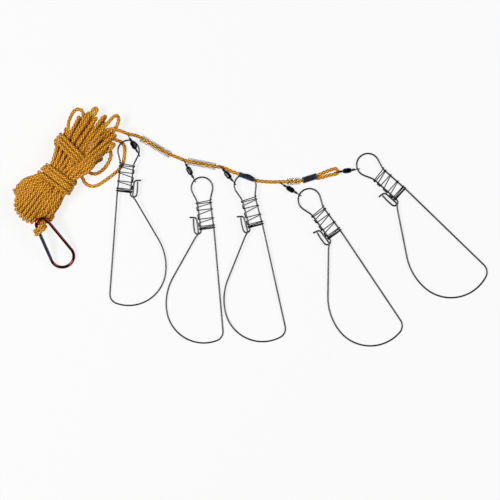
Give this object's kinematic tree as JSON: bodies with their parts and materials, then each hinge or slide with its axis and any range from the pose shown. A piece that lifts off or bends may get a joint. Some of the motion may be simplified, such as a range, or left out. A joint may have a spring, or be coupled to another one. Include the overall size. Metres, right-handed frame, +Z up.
{
  "type": "fish stringer",
  "caption": "Fish stringer: a bound hank of braided rope with a spring-gate clip, and a line that carries wire snaps on barrel swivels.",
  "frame": {"origin": "on the table under the middle of the snaps, swivels and carabiner", "axes": "+X along the line from the hank to the last snap, +Z up from the table, -Y to the side where the snaps hang"},
  "size_m": [0.4303, 0.2115, 0.0228],
  "materials": {
    "rope": "golden-orange braided polypropylene rope",
    "clear_tube": "clear soft plastic tube",
    "dark_tube": "dark shrunk plastic sleeve",
    "swivel": "glossy black nickel",
    "stainless_wire": "bright drawn stainless wire",
    "winding_wire": "fine drawn steel wire",
    "red_rod": "dark red anodised",
    "gate_steel": "satin"
  },
  "bodies": {
    "line": {"rope_line": "rope", "rope_hank": "rope", "hank_binding": "rope", "loose_loop": "rope", "side_loop": "rope", "clip_bight": "rope", "end_bight": "rope", "clear_sleeve_1": "clear_tube", "clear_sleeve_2": "clear_tube", "clear_sleeve_3": "clear_tube", "dark_sleeve_1": "dark_tube", "dark_sleeve_2": "dark_tube", "rope_eye_1": "swivel", "rope_eye_2": "swivel", "rope_eye_3": "swivel", "rope_eye_4": "swivel", "rope_eye_5": "swivel"},
    "barrel_1": {"barrel_1": "swivel"},
    "snap_eye_1": {"snap_eye_1": "swivel"},
    "snap_1": {"snap_wire_1": "stainless_wire", "ladder_winding_1": "winding_wire"},
    "barrel_2": {"barrel_2": "swivel"},
    "snap_eye_2": {"snap_eye_2": "swivel"},
    "snap_2": {"snap_wire_2": "stainless_wire", "ladder_winding_2": "winding_wire"},
    "barrel_3": {"barrel_3": "swivel"},
    "snap_eye_3": {"snap_eye_3": "swivel"},
    "snap_3": {"snap_wire_3": "stainless_wire", "ladder_winding_3": "winding_wire"},
    "barrel_4": {"barrel_4": "swivel"},
    "snap_eye_4": {"snap_eye_4": "swivel"},
    "snap_4": {"snap_wire_4": "stainless_wire", "ladder_winding_4": "winding_wire"},
    "barrel_5": {"barrel_5": "swivel"},
    "snap_eye_5": {"snap_eye_5": "swivel"},
    "snap_5": {"snap_wire_5": "stainless_wire", "ladder_winding_5": "winding_wire"},
    "carabiner": {"carabiner_frame": "red_rod"},
    "gate": {"carabiner_gate": "gate_steel", "gate_rivet": "gate_steel"}
  },
  "joints": [
    {"name": "barrel_1_turn", "type": "hinge", "parent": "line", "child": "barrel_1", "pos_m": [-0.11771, 0.08649, 0.00913], "axis": [-0.4548, 0.8412, 0.2924], "continuous": true},
    {"name": "swivel_1_turn", "type": "hinge", "parent": "line", "child": "snap_eye_1", "pos_m": [-0.11328, 0.07828, 0.00628], "axis": [-0.4548, 0.8412, 0.2924], "range_deg": [0, 75]},
    {"name": "snap_1_flap", "type": "hinge", "parent": "snap_eye_1", "child": "snap_1", "pos_m": [-0.11328, 0.07828, 0.00628], "axis": [0.314, 0.9494, 0], "range_deg": [0, 5]},
    {"name": "barrel_2_turn", "type": "hinge", "parent": "line", "child": "barrel_2", "pos_m": [-0.0668, 0.06323, 0.00268], "axis": [-0.4771, 0.8788, 0.0105], "continuous": true},
    {"name": "swivel_2_turn", "type": "hinge", "parent": "line", "child": "snap_eye_2", "pos_m": [-0.06215, 0.05466, 0.00258], "axis": [-0.4771, 0.8788, 0.0105], "range_deg": [-90, 90]},
    {"name": "snap_2_flap", "type": "hinge", "parent": "snap_eye_2", "child": "snap_2", "pos_m": [-0.06215, 0.05466, 0.00258], "axis": [-0.7157, -0.6984, 0], "range_deg": [-60, 60]},
    {"name": "barrel_3_turn", "type": "hinge", "parent": "line", "child": "barrel_3", "pos_m": [-0.0315, 0.05928, 0.00445], "axis": [-0.6393, 0.7618, -0.1045], "continuous": true},
    {"name": "swivel_3_turn", "type": "hinge", "parent": "line", "child": "snap_eye_3", "pos_m": [-0.02527, 0.05186, 0.00547], "axis": [-0.6393, 0.7618, -0.1045], "range_deg": [-90, 0]},
    {"name": "snap_3_flap", "type": "hinge", "parent": "snap_eye_3", "child": "snap_3", "pos_m": [-0.02527, 0.05186, 0.00547], "axis": [-0.2079, -0.9781, 0], "range_deg": [0, 50]},
    {"name": "barrel_4_turn", "type": "hinge", "parent": "line", "child": "barrel_4", "pos_m": [0.02613, 0.0463, 0.00269], "axis": [-0.8535, 0.521, 0.0105], "continuous": true},
    {"name": "swivel_4_turn", "type": "hinge", "parent": "line", "child": "snap_eye_4", "pos_m": [0.03445, 0.04122, 0.00259], "axis": [-0.8535, 0.521, 0.0105], "range_deg": [-90, 90]},
    {"name": "snap_4_flap", "type": "hinge", "parent": "snap_eye_4", "child": "snap_4", "pos_m": [0.03445, 0.04122, 0.00259], "axis": [-0.4478, -0.8942, 0], "range_deg": [-50, 50]},
    {"name": "barrel_5_turn", "type": "hinge", "parent": "line", "child": "barrel_5", "pos_m": [0.07834, 0.0634, 0.00269], "axis": [-0.9897, -0.1426, 0.0105], "continuous": true},
    {"name": "swivel_5_turn", "type": "hinge", "parent": "line", "child": "snap_eye_5", "pos_m": [0.08798, 0.06479, 0.00259], "axis": [-0.9897, -0.1426, 0.0105], "range_deg": [-90, 90]},
    {"name": "snap_5_flap", "type": "hinge", "parent": "snap_eye_5", "child": "snap_5", "pos_m": [0.08798, 0.06479, 0.00259], "axis": [0.3859, -0.9225, 0], "range_deg": [-60, 60]},
    {"name": "carabiner_swing", "type": "hinge", "parent": "line", "child": "carabiner", "pos_m": [-0.2046, 0.0097, 0.01672], "axis": [0.3393, -0.8775, -0.3389], "range_deg": [0, 35]},
    {"name": "gate_open", "type": "hinge", "parent": "carabiner", "child": "gate", "pos_m": [-0.19429, -0.01695, 0.00643], "axis": [0.1679, -0.298, 0.9397], "range_deg": [-14, 0], "stiffness_Nm_per_rad": 0.01, "springref_deg": 17.19}
  ]
}
